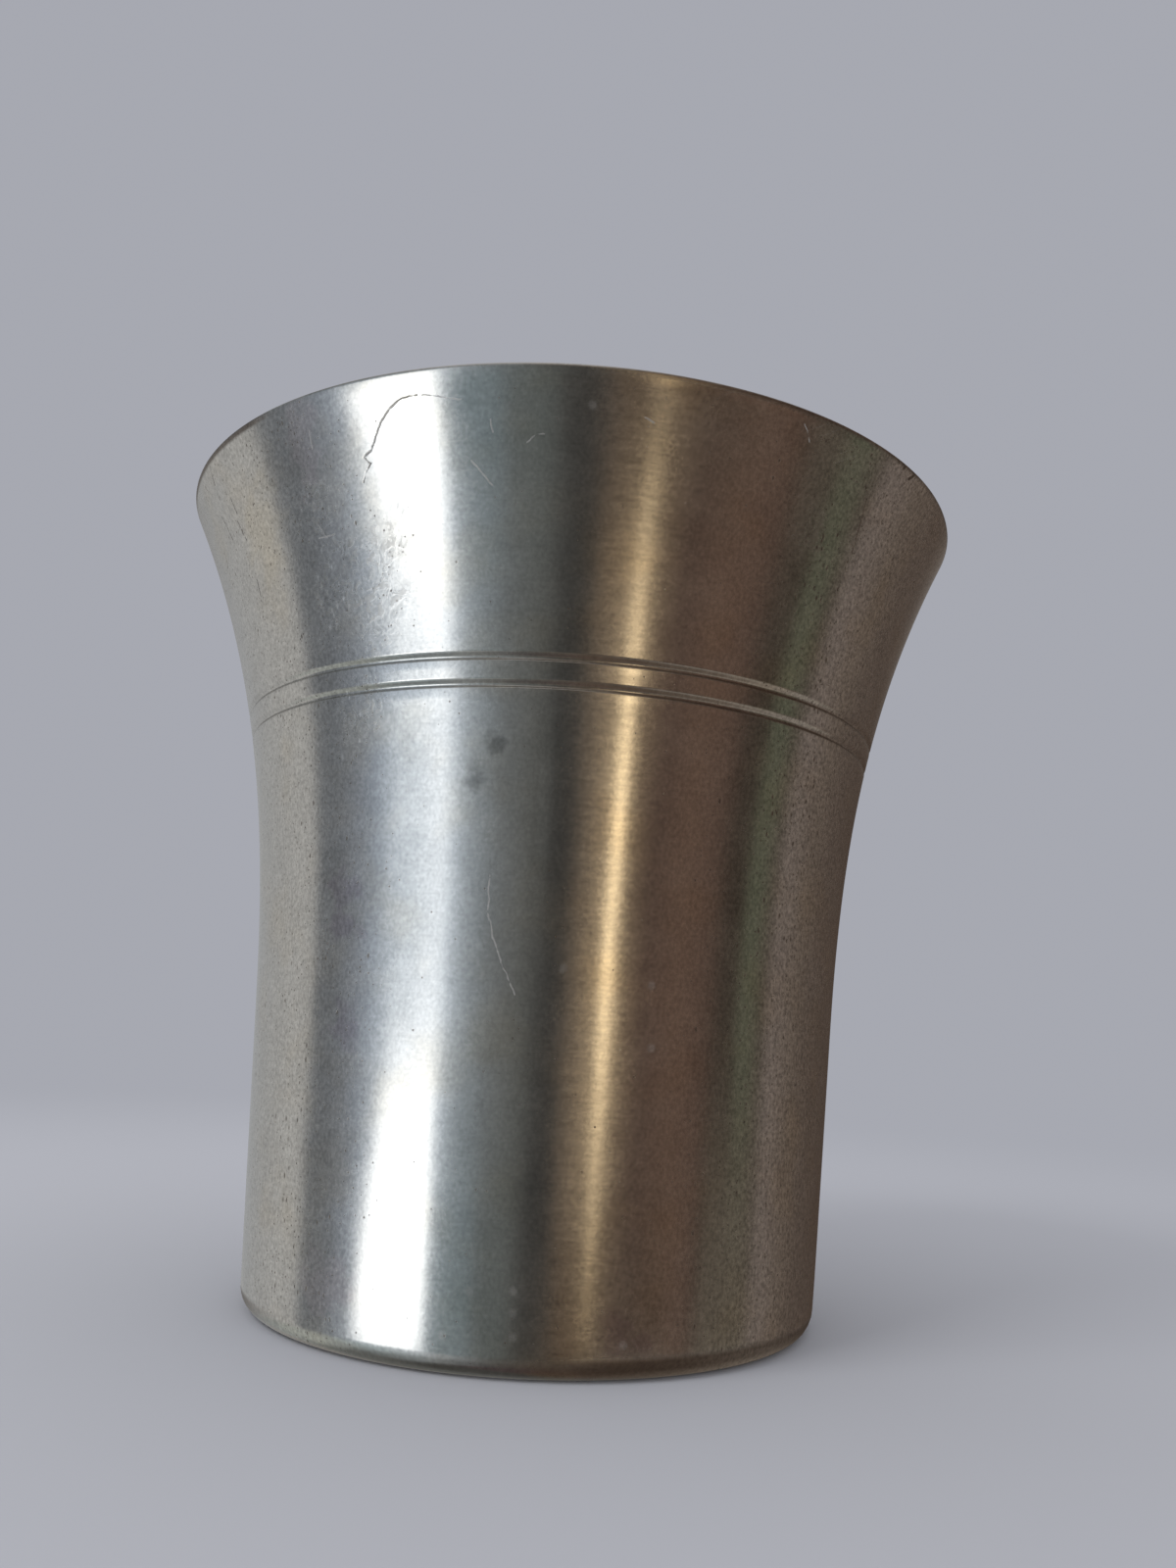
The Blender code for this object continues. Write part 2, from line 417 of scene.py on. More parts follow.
def foot():
    """Section of the foot: outside bend, flat underside, rounded inner edge, inside bend."""
    points = arc(foot_bend_middle(), FOOT_BEND_RADIUS, -LEAN_ANGLE, -90.0, FOOT_BEND_STEPS)
    edge = foot_inner_edge() + FOOT_EDGE_RADIUS
    low = (edge, FOOT_EDGE_RADIUS)
    high = (edge, WALL_THICKNESS - FOOT_EDGE_RADIUS)
    points += arc(low, FOOT_EDGE_RADIUS, -90.0, -180.0, FOOT_EDGE_STEPS)
    points += arc(high, FOOT_EDGE_RADIUS, 180.0, 90.0, FOOT_EDGE_STEPS)
    level = WALL_THICKNESS + FOOT_FILLET
    middle = (inner_radius(level) - FOOT_FILLET * LEAN_SECANT, level)
    return points + arc(middle, FOOT_FILLET, -90.0, -LEAN_ANGLE, FOOT_FILLET_STEPS)


def wall_section():
    """Closed section of the wall: over the rim, down outside, under the foot, up inside."""
    over = rim()
    inside = between(inner_radius, WALL_THICKNESS + FOOT_FILLET, over[0][1], BODY_STEP)
    return over + outer_face(over[-1][1]) + foot() + inside


def base_radius():
    """Disc's radius, which stops one seat gap short of the wall's inner face."""
    return inner_radius(BASE_SEAT + BASE_EDGE_RADIUS) - SEAT_GAP * LEAN_SECANT


def base_section():
    """Section of the disc: top from the middle out, then underneath."""
    outer = base_radius()
    flat_edge = foot_inner_edge() - BASE_FLAT_MARGIN
    rise = []
    for share in spread(1.0, 0.0, BASE_RISE_STEPS):
        crown = BASE_PUSH_UP * smooth(share)
        rise.append((flat_edge - BASE_RISE_WIDTH * share, BASE_SEAT + crown))
    plain = [(x, BASE_SEAT + BASE_PUSH_UP) for x in spread(0.0, rise[0][0], BASE_FLAT_STEPS)[:-1]]
    points = [(x, z + BASE_THICKNESS) for x, z in plain + rise]
    points.append((outer, BASE_SEAT + BASE_THICKNESS))
    corner = (outer - BASE_EDGE_RADIUS, BASE_SEAT + BASE_EDGE_RADIUS)
    points += arc(corner, BASE_EDGE_RADIUS, 0.0, -90.0, BASE_CORNER_STEPS)
    return points + rise[::-1] + plain[::-1]


def solder_section():
    """Section of the fillet: down its back, inward, up its hollow face."""
    back = inner_radius(SOLDER_SEAT) - SEAT_GAP * LEAN_SECANT
    middle = (back - SOLDER_LEG, SOLDER_SEAT + SOLDER_LEG)
    face = arc(middle, SOLDER_LEG - SOLDER_TIP, -90.0, 0.0, SOLDER_STEPS)
    top = (back + WALL_LEAN * SOLDER_LEG, SOLDER_SEAT + SOLDER_LEG)
    return [top, (back, SOLDER_SEAT), (back - SOLDER_LEG, SOLDER_SEAT)] + face


def pushed_in(turns, heights, dents):
    """How far round dents push the wall in, at each bearing in degrees and each height."""
    change = 0.0
    for bearing, height, reach, depth in dents:
        across = np.radians(turns - bearing) * outer_radius(height * MM)
        gap = across ** 2 + (heights - height * MM) ** 2
        change = change + depth * MM * np.exp(-gap / (reach * MM) ** 2)
    return change


def worn(turns, heights):
    """Radial change of the wall by use: a little out of round, and shallow dents."""
    lift = smooth(np.clip((heights - WORN_FROM) / WORN_RISE, 0.0, 1.0))
    oval = OVAL * np.cos(np.radians(2.0 * (turns - OVAL_BEARING))) * (heights / HEIGHT) ** 2
    return (oval - pushed_in(turns, heights, DENTS)) * lift - pushed_in(turns, heights, KNOCKS)


def turned(name, section, closed, bearings, change=None):
    """Mesh turned about Z from a section, with one copy of it at each bearing in degrees."""
    radii = np.array([point[0] for point in section])
    heights = np.array([point[1] for point in section])
    angles = np.radians(bearings)[:, None]
    rows = len(section)
    turns = len(bearings)
    reach = np.broadcast_to(radii, (turns, rows))
    if change is not None:
        reach = reach + change(bearings[:, None], heights)
    corners = np.empty((turns, rows, 3))
    corners[..., 0] = np.sin(angles) * reach
    corners[..., 1] = -np.cos(angles) * reach
    corners[..., 2] = heights
    numbers = np.arange(turns * rows).reshape(turns, rows)
    ahead = np.roll(numbers, -1, axis=0)
    if closed:
        faces = np.stack([numbers, np.roll(numbers, -1, 1), np.roll(ahead, -1, 1), ahead], -1)
    else:
        faces = np.stack([numbers[:, :-1], numbers[:, 1:], ahead[:, 1:], ahead[:, :-1]], -1)
    mesh = bpy.data.meshes.new(name)
    mesh.from_pydata(corners.reshape(-1, 3).tolist(), [], faces.reshape(-1, 4).tolist())
    return mesh


def welded(mesh):
    """Merge a mesh's doubled points and turn its faces outwards."""
    work = bmesh.new()
    work.from_mesh(mesh)
    bmesh.ops.remove_doubles(work, verts=work.verts, dist=WELD_DISTANCE)
    bmesh.ops.recalc_face_normals(work, faces=work.faces)
    work.to_mesh(mesh)
    work.free()


def piece(name, mesh, node, slot, *materials):
    """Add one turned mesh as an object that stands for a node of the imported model."""
    welded(mesh)
    mesh.shade_smooth()
    mesh.set_sharp_from_angle(angle=SHARP_ANGLE)
    for material in materials:
        mesh.materials.append(material)
    made = bpy.data.objects.new(name, mesh)
    bpy.context.scene.collection.objects.link(made)
    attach(made, "root")
    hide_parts(node)


class Graph:
    """Short calls that add nodes to one material's or world's tree."""

    def __init__(self, tree):
        self.tree = tree
        self.tree.nodes.clear()

    def node(self, kind, **settings):
        """New node of a kind, with its settings."""
        made = self.tree.nodes.new(kind)
        for key, value in settings.items():
            setattr(made, key, value)
        return made

    def feed(self, socket, value):
        """Give a socket a number, a colour or another node's output."""
        if isinstance(value, bpy.types.NodeSocket):
            self.tree.links.new(value, socket)
        elif socket.type == "RGBA":
            socket.default_value = (*value, 1.0)
        else:
            socket.default_value = value

    def math(self, operation, *values, clamp=False):
        """Math node on one to three values."""
        made = self.node("ShaderNodeMath", operation=operation, use_clamp=clamp)
        for socket, value in zip(made.inputs, values):
            self.feed(socket, value)
        return made.outputs[0]

    def span(self, value, low, high, start=0.0, end=1.0):
        """Smooth step of a value from start at low to end at high."""
        made = self.node("ShaderNodeMapRange", interpolation_type="SMOOTHSTEP")
        for socket, number in zip(made.inputs, (value, low, high, start, end)):
            self.feed(socket, number)
        return made.outputs[0]

    def mix(self, factor, first, second):
        """Mix of two colours."""
        made = self.node("ShaderNodeMix", data_type="RGBA")
        self.feed(made.inputs[0], factor)
        self.feed(made.inputs[6], first)
        self.feed(made.inputs[7], second)
        return made.outputs[2]

    def vector(self, x, y, z):
        """Vector of three values."""
        made = self.node("ShaderNodeCombineXYZ")
        for socket, value in zip(made.inputs, (x, y, z)):
            self.feed(socket, value)
        return made.outputs[0]

    def add(self, first, second):
        """Sum of two numbers."""
        return self.math("ADD", first, second)

    def times(self, first, second):
        """Product of two numbers."""
        return self.math("MULTIPLY", first, second)

    def both(self, first, second):
        """Larger of two masks."""
        return self.math("MAXIMUM", first, second)

    def vectors(self, operation, first, second=None, scale=None):
        """Vector maths node, which gives a number for a length or a dot product."""
        made = self.node("ShaderNodeVectorMath", operation=operation)
        self.feed(made.inputs[0], first)
        if second is not None:
            self.feed(made.inputs[1], second)
        if scale is not None:
            self.feed(made.inputs["Scale"], scale)
        number = operation in ("LENGTH", "DISTANCE", "DOT_PRODUCT")
        return made.outputs["Value" if number else "Vector"]

    def noise(self, place, size, detail=2.0, roughness=0.5, distortion=0.0):
        """Noise between 0 and 1 at a place, with features of about a size."""
        made = self.node("ShaderNodeTexNoise")
        self.feed(made.inputs["Vector"], place)
        self.feed(made.inputs["Scale"], 1.0 / size)
        self.feed(made.inputs["Detail"], detail)
        self.feed(made.inputs["Roughness"], roughness)
        self.feed(made.inputs["Distortion"], distortion)
        return made.outputs[0]

    def shaken(self, place, scale, reach):
        """Place moved about by noise, by up to about half the reach."""
        made = self.node("ShaderNodeTexNoise")
        self.feed(made.inputs["Vector"], place)
        self.feed(made.inputs["Scale"], scale)
        away = self.vectors("SUBTRACT", made.outputs["Color"], (0.5, 0.5, 0.5))
        return self.vectors("ADD", place, self.vectors("SCALE", away, scale=reach))

    def pits(self, place, spacing, size, share):
        """Scattered round pits of up to a size, in a share of the cells that the spacing gives."""
        made = self.node("ShaderNodeTexVoronoi", feature="F1")
        self.feed(made.inputs["Vector"], place)
        self.feed(made.inputs["Scale"], 1.0 / spacing)
        draw = self.node("ShaderNodeSeparateColor")
        self.feed(draw.inputs[0], made.outputs["Color"])
        chosen = self.math("LESS_THAN", draw.outputs[0], share)
        least = size / spacing * LEAST_PIT
        radius = self.math("MULTIPLY_ADD", draw.outputs[1], size / spacing - least, least)
        out = self.math("DIVIDE", made.outputs["Distance"], radius)
        depth = self.math("SUBTRACT", 1.0, out, clamp=True)
        return self.times(chosen, self.span(depth, 0.0, PIT_FLOOR))

    def ramp(self, value, stops):
        """Colour ramp through stops of place and colour."""
        made = self.node("ShaderNodeValToRGB")
        elements = made.color_ramp.elements
        while len(elements) < len(stops):
            elements.new(0.5)
        for element, (place, colour) in zip(elements, stops):
            element.position = place
            element.color = (*colour, 1.0)
        self.feed(made.inputs[0], value)
        return made.outputs[0]


# Studio surfaces that the metal mirrors, in linear light
LINEN = (0.395, 0.405, 0.415)
CREAM = (0.55, 0.55, 0.545)
SLATE = (0.205, 0.222, 0.247)
STEEL = (0.305, 0.34, 0.40)
LAVENDER = (0.43, 0.505, 0.615)
SKY = (0.70, 0.81, 0.95)
HAZE = (0.82, 0.95, 1.11)
GLARE = (1.40, 1.54, 1.72)
MIST = (0.50, 0.57, 0.64)
DOVE = (0.36, 0.41, 0.46)
LEAD = (0.225, 0.245, 0.26)
SMOKE = (0.16, 0.165, 0.16)
DOORWAY = (0.052, 0.052, 0.05)
TAN = (0.24, 0.185, 0.135)
OCHRE = (0.38, 0.285, 0.19)
HAZEL = (0.205, 0.145, 0.10)
UMBER = (0.11, 0.07, 0.054)
RUST = (0.168, 0.104, 0.075)
SHADE = (0.055, 0.040, 0.030)
LEAF = (0.125, 0.132, 0.09)
MAUVE = (0.226, 0.184, 0.165)
TAUPE = (0.165, 0.128, 0.104)
COCOA = (0.12, 0.09, 0.074)
EMBER = (0.072, 0.050, 0.038)
MOSS = (0.10, 0.079, 0.060)
WARM_LINEN = (0.30, 0.28, 0.265)
FLINT = (0.18, 0.175, 0.16)
PEARL = (0.37, 0.40, 0.40)
CHALK = (0.45, 0.48, 0.465)
FROST = (0.50, 0.60, 0.64)
ICE = (0.57, 0.62, 0.67)
SLEET = (0.24, 0.265, 0.275)
HAIL = (0.31, 0.335, 0.35)
COAL = (0.12, 0.119, 0.118)
BARK = (0.125, 0.094, 0.072)
CLAY = (0.205, 0.165, 0.13)
GRAPHITE = (0.08, 0.078, 0.074)
DAMSON = (0.088, 0.066, 0.067)
CHESTNUT = (0.135, 0.10, 0.075)
SIENNA = (0.13, 0.081, 0.061)
PUTTY = (0.37, 0.375, 0.385)
SAND = (0.27, 0.24, 0.21)
OAT = (0.31, 0.272, 0.236)
WINDOW = (3.2, 3.3, 3.4)
GOLD = (4.05, 3.12, 1.88)
DUSK = (0.085, 0.056, 0.038)
OLIVE = (0.145, 0.12, 0.092)
BACK_LIGHT = (0.95, 0.96, 0.98)
HARBOUR = (0.185, 0.255, 0.29)
QUAY = (0.14, 0.163, 0.163)
ZENITH = (0.70, 0.70, 0.71)
BACKDROP = (0.385, 0.395, 0.44)

# Studio round the beaker, by bearing in degrees: 0 is the camera's side and 90 its right
WALLS = (
    (-150.0, LINEN),
    (-108.0, CREAM),
    (-98.5, CREAM),
    (-95.0, SLATE),
    (-85.0, SLATE),
    (-74.0, STEEL),
    (-66.0, LAVENDER),
    (-59.0, SKY),
    (-50.0, HAZE),
    (-39.0, GLARE),
    (-35.0, SKY),
    (-31.5, MIST),
    (-27.0, DOVE),
    (-20.0, LEAD),
    (-9.0, SMOKE),
    (0.0, DOORWAY),
    (6.0, DOORWAY),
    (12.0, TAN),
    (18.0, OCHRE),
    (30.0, HAZEL),
    (37.0, UMBER),
    (50.0, RUST),
    (62.0, SIENNA),
    (70.0, SHADE),
    (77.0, SHADE),
    (80.0, LEAF),
    (85.0, LEAF),
    (92.0, MOSS),
    (96.5, MAUVE),
    (112.0, TAUPE),
    (126.0, COCOA),
    (158.0, EMBER),
)
CLOTH = (
    (-180.0, FLINT),
    (-168.0, FLINT),
    (-156.0, WARM_LINEN),
    (-140.0, PEARL),
    (-112.0, CHALK),
    (-84.0, CHALK),
    (-64.0, FROST),
    (-40.0, ICE),
    (-14.0, SMOKE),
    (12.0, BARK),
    (40.0, SAND),
    (75.0, OAT),
    (120.0, OAT),
    (160.0, CLAY),
    (180.0, FLINT),
)
CONTACT = (
    (-180.0, COAL),
    (-155.0, SMOKE),
    (-98.0, SMOKE),
    (-75.0, SLEET),
    (-50.0, HAIL),
    (-20.0, COAL),
    (12.0, BARK),
    (45.0, BARK),
    (85.0, TAUPE),
    (130.0, CLAY),
    (160.0, TAUPE),
    (180.0, COAL),
)
BENEATH = (
    (-180.0, GRAPHITE),
    (-60.0, GRAPHITE),
    (-40.0, DAMSON),
    (4.0, DAMSON),
    (22.0, SIENNA),
    (70.0, SIENNA),
    (95.0, CHESTNUT),
    (130.0, CHESTNUT),
    (165.0, CHESTNUT),
    (180.0, GRAPHITE),
)
ABOVE = (
    (-180.0, WARM_LINEN),
    (-100.0, LEAD),
    (-60.0, DOVE),
    (-20.0, PUTTY),
    (4.0, CLAY),
    (22.0, HAZEL),
    (50.0, SIENNA),
    (80.0, RUST),
    (120.0, CHESTNUT),
    (180.0, WARM_LINEN),
)

# Cards on the walls, by their sides, levels and soft edges in degrees
LAMP_CARD = ((21.6, 24.6), (-17.5, 40.0), (1.8, 2.0))
LAMP_FADE = (-11.0, -3.6, 0.37, 1.0)
LOW_CARDS = (
    ((8.0, 54.0), (-60.0, -15.5), (5.0, 4.0), DUSK),
    ((-38.0, -19.5), (-60.0, -14.0), (2.5, 3.0), HARBOUR),
    ((-19.5, -6.0), (-60.0, -14.0), (2.5, 3.0), QUAY),
    ((-3.0, 9.0), (-60.0, -16.0), (4.0, 3.5), DOORWAY),
    ((68.0, 92.0), (-60.0, -9.0), (3.5, 4.0), OLIVE),
)
FAR_CARD = ((175.0, 200.0), (-12.0, 60.0), (4.5, 6.0))
PALE_CARD = ((-124.0, -94.0), (-48.0, -28.0), (6.0, 5.0))

# Window, whose left side leans from its bearing at the horizon to a limit, and comes back low down
WINDOW_SLOPE = 1.3
WINDOW_LEFT = -46.3
WINDOW_LEFT_LIMIT = -67.5
WINDOW_RETURN_LEVEL = -18.3
WINDOW_RETURN_SLOPE = 2.5
WINDOW_SOFT = 4.0
WINDOW_RIGHT = (-40.5, -36.8)
WINDOW_TOP = (-9.8, -6.8)
WINDOW_BOTTOM = (-23.0, -19.5)

# Levels in degrees over which the walls turn into what lies below and above them
CLOTH_LEVELS = (-20.0, -29.0)
CONTACT_LEVELS = (-34.0, -52.0)
BENEATH_LEVELS = (-58.0, -70.0)
ABOVE_LEVELS = (8.0, 24.0)
ZENITH_LEVELS = (45.0, 75.0)

# Floor and lamp
FLOOR_REACH = 4.0
FLOOR_FADE = (0.08, 0.35)
FLOOR_COLOUR = (0.47, 0.48, 0.52)
MATT_LIGHT = (0.80, 0.80, 0.82)
LAMP_PLACE = (-0.35, -0.30, 0.45)
LAMP_SIZE = 0.25
LAMP_POWER = 1.1


def by_bearing(graph, bearing, stops):
    """Colour round the horizon from stops of bearing and colour."""
    place = graph.math("MULTIPLY_ADD", bearing, 1.0 / 360.0, 0.5)
    return graph.ramp(place, [((stop + 180.0) / 360.0, colour) for stop, colour in stops])


def turned_into(graph, bearing, height, light, levels, stops):
    """Light that turns over some levels into another round of stops."""
    return graph.mix(graph.span(height, *levels), light, by_bearing(graph, bearing, stops))


def card(graph, across, height, sides, levels, soft):
    """1 inside a card's sides and levels, falling to 0 over its soft edges."""
    left = graph.span(across, sides[0] - soft[0], sides[0] + soft[0])
    right = graph.span(across, sides[1] - soft[0], sides[1] + soft[0], 1.0, 0.0)
    bottom = graph.span(height, levels[0] - soft[1], levels[0] + soft[1])
    top = graph.span(height, levels[1] - soft[1], levels[1] + soft[1], 1.0, 0.0)
    return graph.times(graph.times(left, right), graph.times(bottom, top))


def window(graph, bearing, height):
    """Share of the window, whose left side leans with height and comes back in low down."""
    lean = graph.math("MULTIPLY_ADD", height, WINDOW_SLOPE, WINDOW_LEFT)
    lean = graph.both(lean, WINDOW_LEFT_LIMIT)
    low = graph.both(graph.math("SUBTRACT", WINDOW_RETURN_LEVEL, height), 0.0)
    lean = graph.math("MULTIPLY_ADD", low, WINDOW_RETURN_SLOPE, lean)
    left = graph.span(graph.math("SUBTRACT", bearing, lean), -WINDOW_SOFT, WINDOW_SOFT)
    right = graph.span(bearing, *WINDOW_RIGHT, 1.0, 0.0)
    top = graph.span(height, *WINDOW_TOP, 1.0, 0.0)
    bottom = graph.span(height, *WINDOW_BOTTOM)
    return graph.times(graph.times(left, right), graph.times(bottom, top))


def studio():
    """World: plain light for matt surfaces, a plain backdrop, and walls that the metal mirrors."""
    world = bpy.data.worlds.new("studio")
    world.use_nodes = True
    bpy.context.scene.world = world
    graph = Graph(world.node_tree)
    way = graph.node("ShaderNodeSeparateXYZ")
    graph.feed(way.inputs[0], graph.node("ShaderNodeTexCoord").outputs["Generated"])
    x, y, z = way.outputs
    turn = graph.math("ARCTAN2", x, graph.math("MULTIPLY", y, -1.0))
    bearing = graph.math("MULTIPLY", turn, 180.0 / math.pi)
    height = graph.math("MULTIPLY", graph.math("ARCSINE", z), 180.0 / math.pi)

    light = by_bearing(graph, bearing, WALLS)
    lamp = graph.times(card(graph, bearing, height, *LAMP_CARD), graph.span(height, *LAMP_FADE))
    light = graph.mix(lamp, light, GOLD)
    for sides, levels, soft, colour in LOW_CARDS:
        light = graph.mix(card(graph, bearing, height, sides, levels, soft), light, colour)
    behind = graph.math("ABSOLUTE", bearing)
    light = graph.mix(card(graph, behind, height, *FAR_CARD), light, BACK_LIGHT)
    light = turned_into(graph, bearing, height, light, CLOTH_LEVELS, CLOTH)
    light = turned_into(graph, bearing, height, light, CONTACT_LEVELS, CONTACT)
    light = graph.mix(card(graph, bearing, height, *PALE_CARD), light, CHALK)
    light = turned_into(graph, bearing, height, light, BENEATH_LEVELS, BENEATH)
    light = graph.mix(window(graph, bearing, height), light, WINDOW)
    light = turned_into(graph, bearing, height, light, ABOVE_LEVELS, ABOVE)
    light = graph.mix(graph.span(height, *ZENITH_LEVELS), light, ZENITH)

    path = graph.node("ShaderNodeLightPath")
    mirrored_light = graph.node("ShaderNodeBackground")
    graph.feed(mirrored_light.inputs["Color"], light)
    plain_light = graph.node("ShaderNodeBackground")
    graph.feed(plain_light.inputs["Color"], MATT_LIGHT)
    backdrop = graph.node("ShaderNodeBackground")
    graph.feed(backdrop.inputs["Color"], BACKDROP)
    matt = graph.node("ShaderNodeMixShader")
    graph.feed(matt.inputs[0], path.outputs["Is Glossy Ray"])
    graph.feed(matt.inputs[1], plain_light.outputs[0])
    graph.feed(matt.inputs[2], mirrored_light.outputs[0])
    shown = graph.node("ShaderNodeMixShader")
    graph.feed(shown.inputs[0], path.outputs["Is Camera Ray"])
    graph.feed(shown.inputs[1], matt.outputs[0])
    graph.feed(shown.inputs[2], backdrop.outputs[0])
    out = graph.node("ShaderNodeOutputWorld")
    graph.feed(out.inputs[0], shown.outputs[0])


class Skin:
    """Coordinates on a turned surface: place in metres, turn in degrees, and flat in mm."""

    def __init__(self, graph):
        self.graph = graph
        self.place = graph.node("ShaderNodeTexCoord").outputs["Object"]
        part = graph.node("ShaderNodeSeparateXYZ")
        graph.feed(part.inputs[0], self.place)
        x, y, self.z = part.outputs
        square = graph.add(graph.times(x, x), graph.times(y, y))
        self.reach = graph.math("SQRT", graph.add(square, 1.0e-12))
        self.east = graph.math("DIVIDE", x, self.reach)
        self.north = graph.math("DIVIDE", y, self.reach)
        turn = graph.math("ARCTAN2", x, graph.times(y, -1.0))
        self.turn = graph.times(turn, 180.0 / math.pi)
        self.level = graph.times(self.z, 1.0 / MM)
        across = graph.times(graph.times(turn, self.reach), 1.0 / MM)
        self.flat = graph.vector(across, self.level, 0.0)

    def streaks(self, length, height, detail):
        """Noise drawn out round the axis, with the length and height of one streak in mm."""
        round_scale = WAIST_DIAMETER / 2.0 / (length * MM)
        sides = [self.graph.times(side, round_scale) for side in (self.east, self.north)]
        place = self.graph.vector(*sides, self.graph.times(self.z, 1.0 / (height * MM)))
        return self.graph.noise(place, 1.0, detail, 0.55)

    def stroke(self, flat, start, end, width):
        """1 on a scratch between two marks, falling to 0 at its width in mm."""
        graph = self.graph
        start, end = on_skin(start), on_skin(end)
        along = Vector(end) - Vector(start)
        away = graph.vectors("SUBTRACT", flat, start)
        share = graph.vectors("DOT_PRODUCT", away, tuple(along / along.length_squared))
        share = graph.math("MINIMUM", graph.both(share, 0.0), 1.0)
        nearest = graph.vectors("SCALE", tuple(along), scale=share)
        gap = graph.vectors("LENGTH", graph.vectors("SUBTRACT", away, nearest))
        return graph.span(gap, width, width * STROKE_CORE)

    def scratch(self, flat, marks, width):
        """Scratch through several marks."""
        mask = self.stroke(flat, marks[0], marks[1], width)
        for start, end in zip(marks[1:], marks[2:]):
            mask = self.graph.both(mask, self.stroke(flat, start, end, width))
        return mask

    def spot(self, flat, mark, size):
        """1 in the middle of a round spot, falling to 0 at its size in mm."""
        gap = self.graph.vectors("DISTANCE", flat, on_skin(mark))
        return self.graph.span(gap, size, size * SPOT_CORE)


def on_skin(mark):
    """Flat coordinates in mm of a mark, given by its bearing in degrees and height in mm."""
    bearing, height = mark
    return math.radians(bearing) * outer_radius(height * MM) / MM, height, 0.0


def surface(graph, colour, tone, dark, pale, height, roughness, anisotropy):
    """Shader of worn metal from its tone, dark and pale marks, bumps in mm and roughness."""
    shader = graph.node("ShaderNodeBsdfPrincipled")
    tone = graph.times(tone, graph.math("MULTIPLY_ADD", dark, -DARK_LOSS, 1.0))
    # Dark marks take the tint; on the wall these include painted shade
    dark_tinted = graph.mix(graph.times(dark, dark), colour, GRIME_AND_SHADE_TINT)
    worn_colour = graph.vectors("SCALE", dark_tinted, scale=tone)
    graph.feed(shader.inputs["Base Color"], graph.mix(pale, worn_colour, OXIDE))
    graph.feed(shader.inputs["Metallic"], graph.math("MULTIPLY_ADD", pale, -PALE_LOSS, 1.0))
    marks = graph.both(dark, pale)
    roughness = graph.math("MULTIPLY_ADD", marks, MARK_ROUGHNESS, roughness, clamp=True)
    graph.feed(shader.inputs["Roughness"], roughness)
    shader.inputs["Anisotropic"].default_value = anisotropy
    shader.inputs["Anisotropic Rotation"].default_value = QUARTER_TURN
    tangent = graph.node("ShaderNodeTangent", direction_type="RADIAL", axis="Z")
    graph.feed(shader.inputs["Tangent"], tangent.outputs[0])
    bump = graph.node("ShaderNodeBump")
    bump.inputs["Distance"].default_value = MM
    graph.feed(bump.inputs["Height"], height)
    graph.feed(shader.inputs["Normal"], bump.outputs[0])
    graph.feed(graph.node("ShaderNodeOutputMaterial").inputs[0], shader.outputs[0])


def varied(graph, *parts):
    """1 plus each noise's departure from its middle, times its weight."""
    total = 1.0
    for noise, weight in parts:
        total = graph.math("MULTIPLY_ADD", graph.math("SUBTRACT", noise, 0.5), weight, total)
    return total


def weighed(graph, *parts):
    """Sum of each value times its weight."""
    total = 0.0
    for value, weight in parts:
        total = graph.math("MULTIPLY_ADD", value, weight, total)
    return total


def new_material(name):
    """Material of a name, and the graph of its nodes."""
    material = bpy.data.materials.new(name)
    material.use_nodes = True
    return material, Graph(material.node_tree)


class WallSkin(Skin):
    """Skin of the wall, with the noises, patches and zones that its marks and looks share."""

    def __init__(self, graph):
        super().__init__(graph)
        self.fine = self.streaks(*FINE_STREAKS)
        self.drawn = self.streaks(*DRAWN_STREAKS)
        self.grain = graph.noise(self.squeezed(GRAIN_SQUEEZE), GRAIN_SIZE, 2.0, 0.6)
        self.blotch = graph.noise(self.place, BLOTCH_SIZE, 5.0, 0.6)
        self.shaken = graph.shaken(self.flat, *FINE_SHAKE)
        self.wide = graph.shaken(self.flat, *WIDE_SHAKE)
        self.patches = self.patched(0.0, ROUGH_PATCHES)
        pit_line = self.scratch(self.shaken, PIT_LINE, PIT_LINE_WIDTH)
        self.pitted = self.patched(pit_line, PITTED_PATCHES)
        self.mottle = graph.noise(self.place, MOTTLE_SIZE, 3.0, 0.55, 1.2)
        self.flank = graph.span(graph.math("ABSOLUTE", self.turn), *FLANK)
        self.right = graph.span(self.turn, *RIGHT_SIDE)

    def squeezed(self, share):
        """Place with its height cut to a share, which draws noise out upright."""
        return self.graph.vectors("MULTIPLY", self.place, (1.0, 1.0, share))

    def patched(self, mask, patches):
        """Mask with round patches added, each by its bearing, height and size."""
        for bearing, height, size in patches:
            mask = self.graph.both(mask, self.spot(self.wide, (bearing, height), size))
        return mask


def rubbed(graph, skin, angle, length, width, share):
    """Fine rub marks that run at an angle, the length and width of each in mm."""
    turn = math.radians(angle)
    along = graph.vectors("DOT_PRODUCT", skin.flat, (math.cos(turn), math.sin(turn), 0.0))
    across = graph.vectors("DOT_PRODUCT", skin.flat, (-math.sin(turn), math.cos(turn), 0.0))
    place = graph.vector(graph.times(along, 1.0 / length), graph.times(across, 1.0 / width), angle)
    return graph.span(graph.noise(place, 1.0, 1.0), 1.0 - share, 1.0 - share + HAIR_EDGE)


